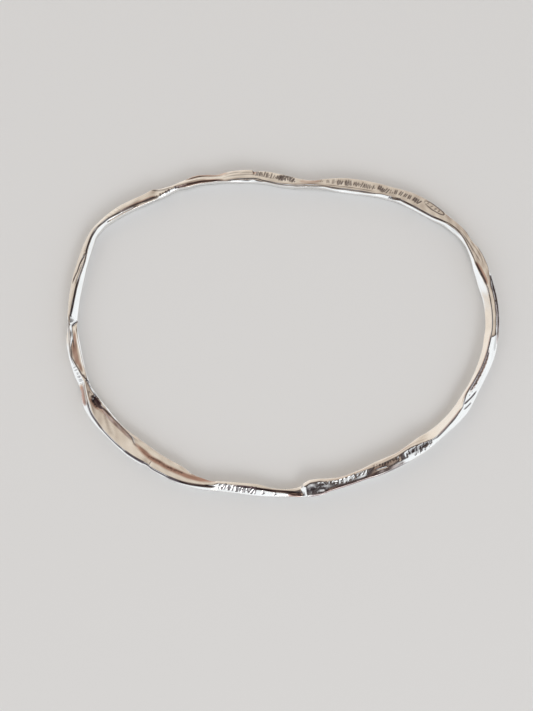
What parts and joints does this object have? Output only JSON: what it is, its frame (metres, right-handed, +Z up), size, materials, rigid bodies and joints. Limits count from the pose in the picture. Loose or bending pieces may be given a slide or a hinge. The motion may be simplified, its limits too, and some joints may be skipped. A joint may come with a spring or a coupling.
{
  "type": "bangle",
  "caption": "Closed oval slip-on bangle: a slim polished silver band whose section rolls, pinches and folds as it goes round the wrist.",
  "frame": {"origin": "under the middle of the bangle's box, on the surface that it rests on", "axes": "+X along the longer axis of the oval, +Z up through the opening, +Y along the shorter axis"},
  "size_m": [0.0762, 0.06, 0.0024],
  "materials": {
    "silver": "polished sterling silver with fine handling scratches and darker, tarnished recesses"
  },
  "bodies": {
    "root": {"bangle": "silver"}
  },
  "joints": []
}
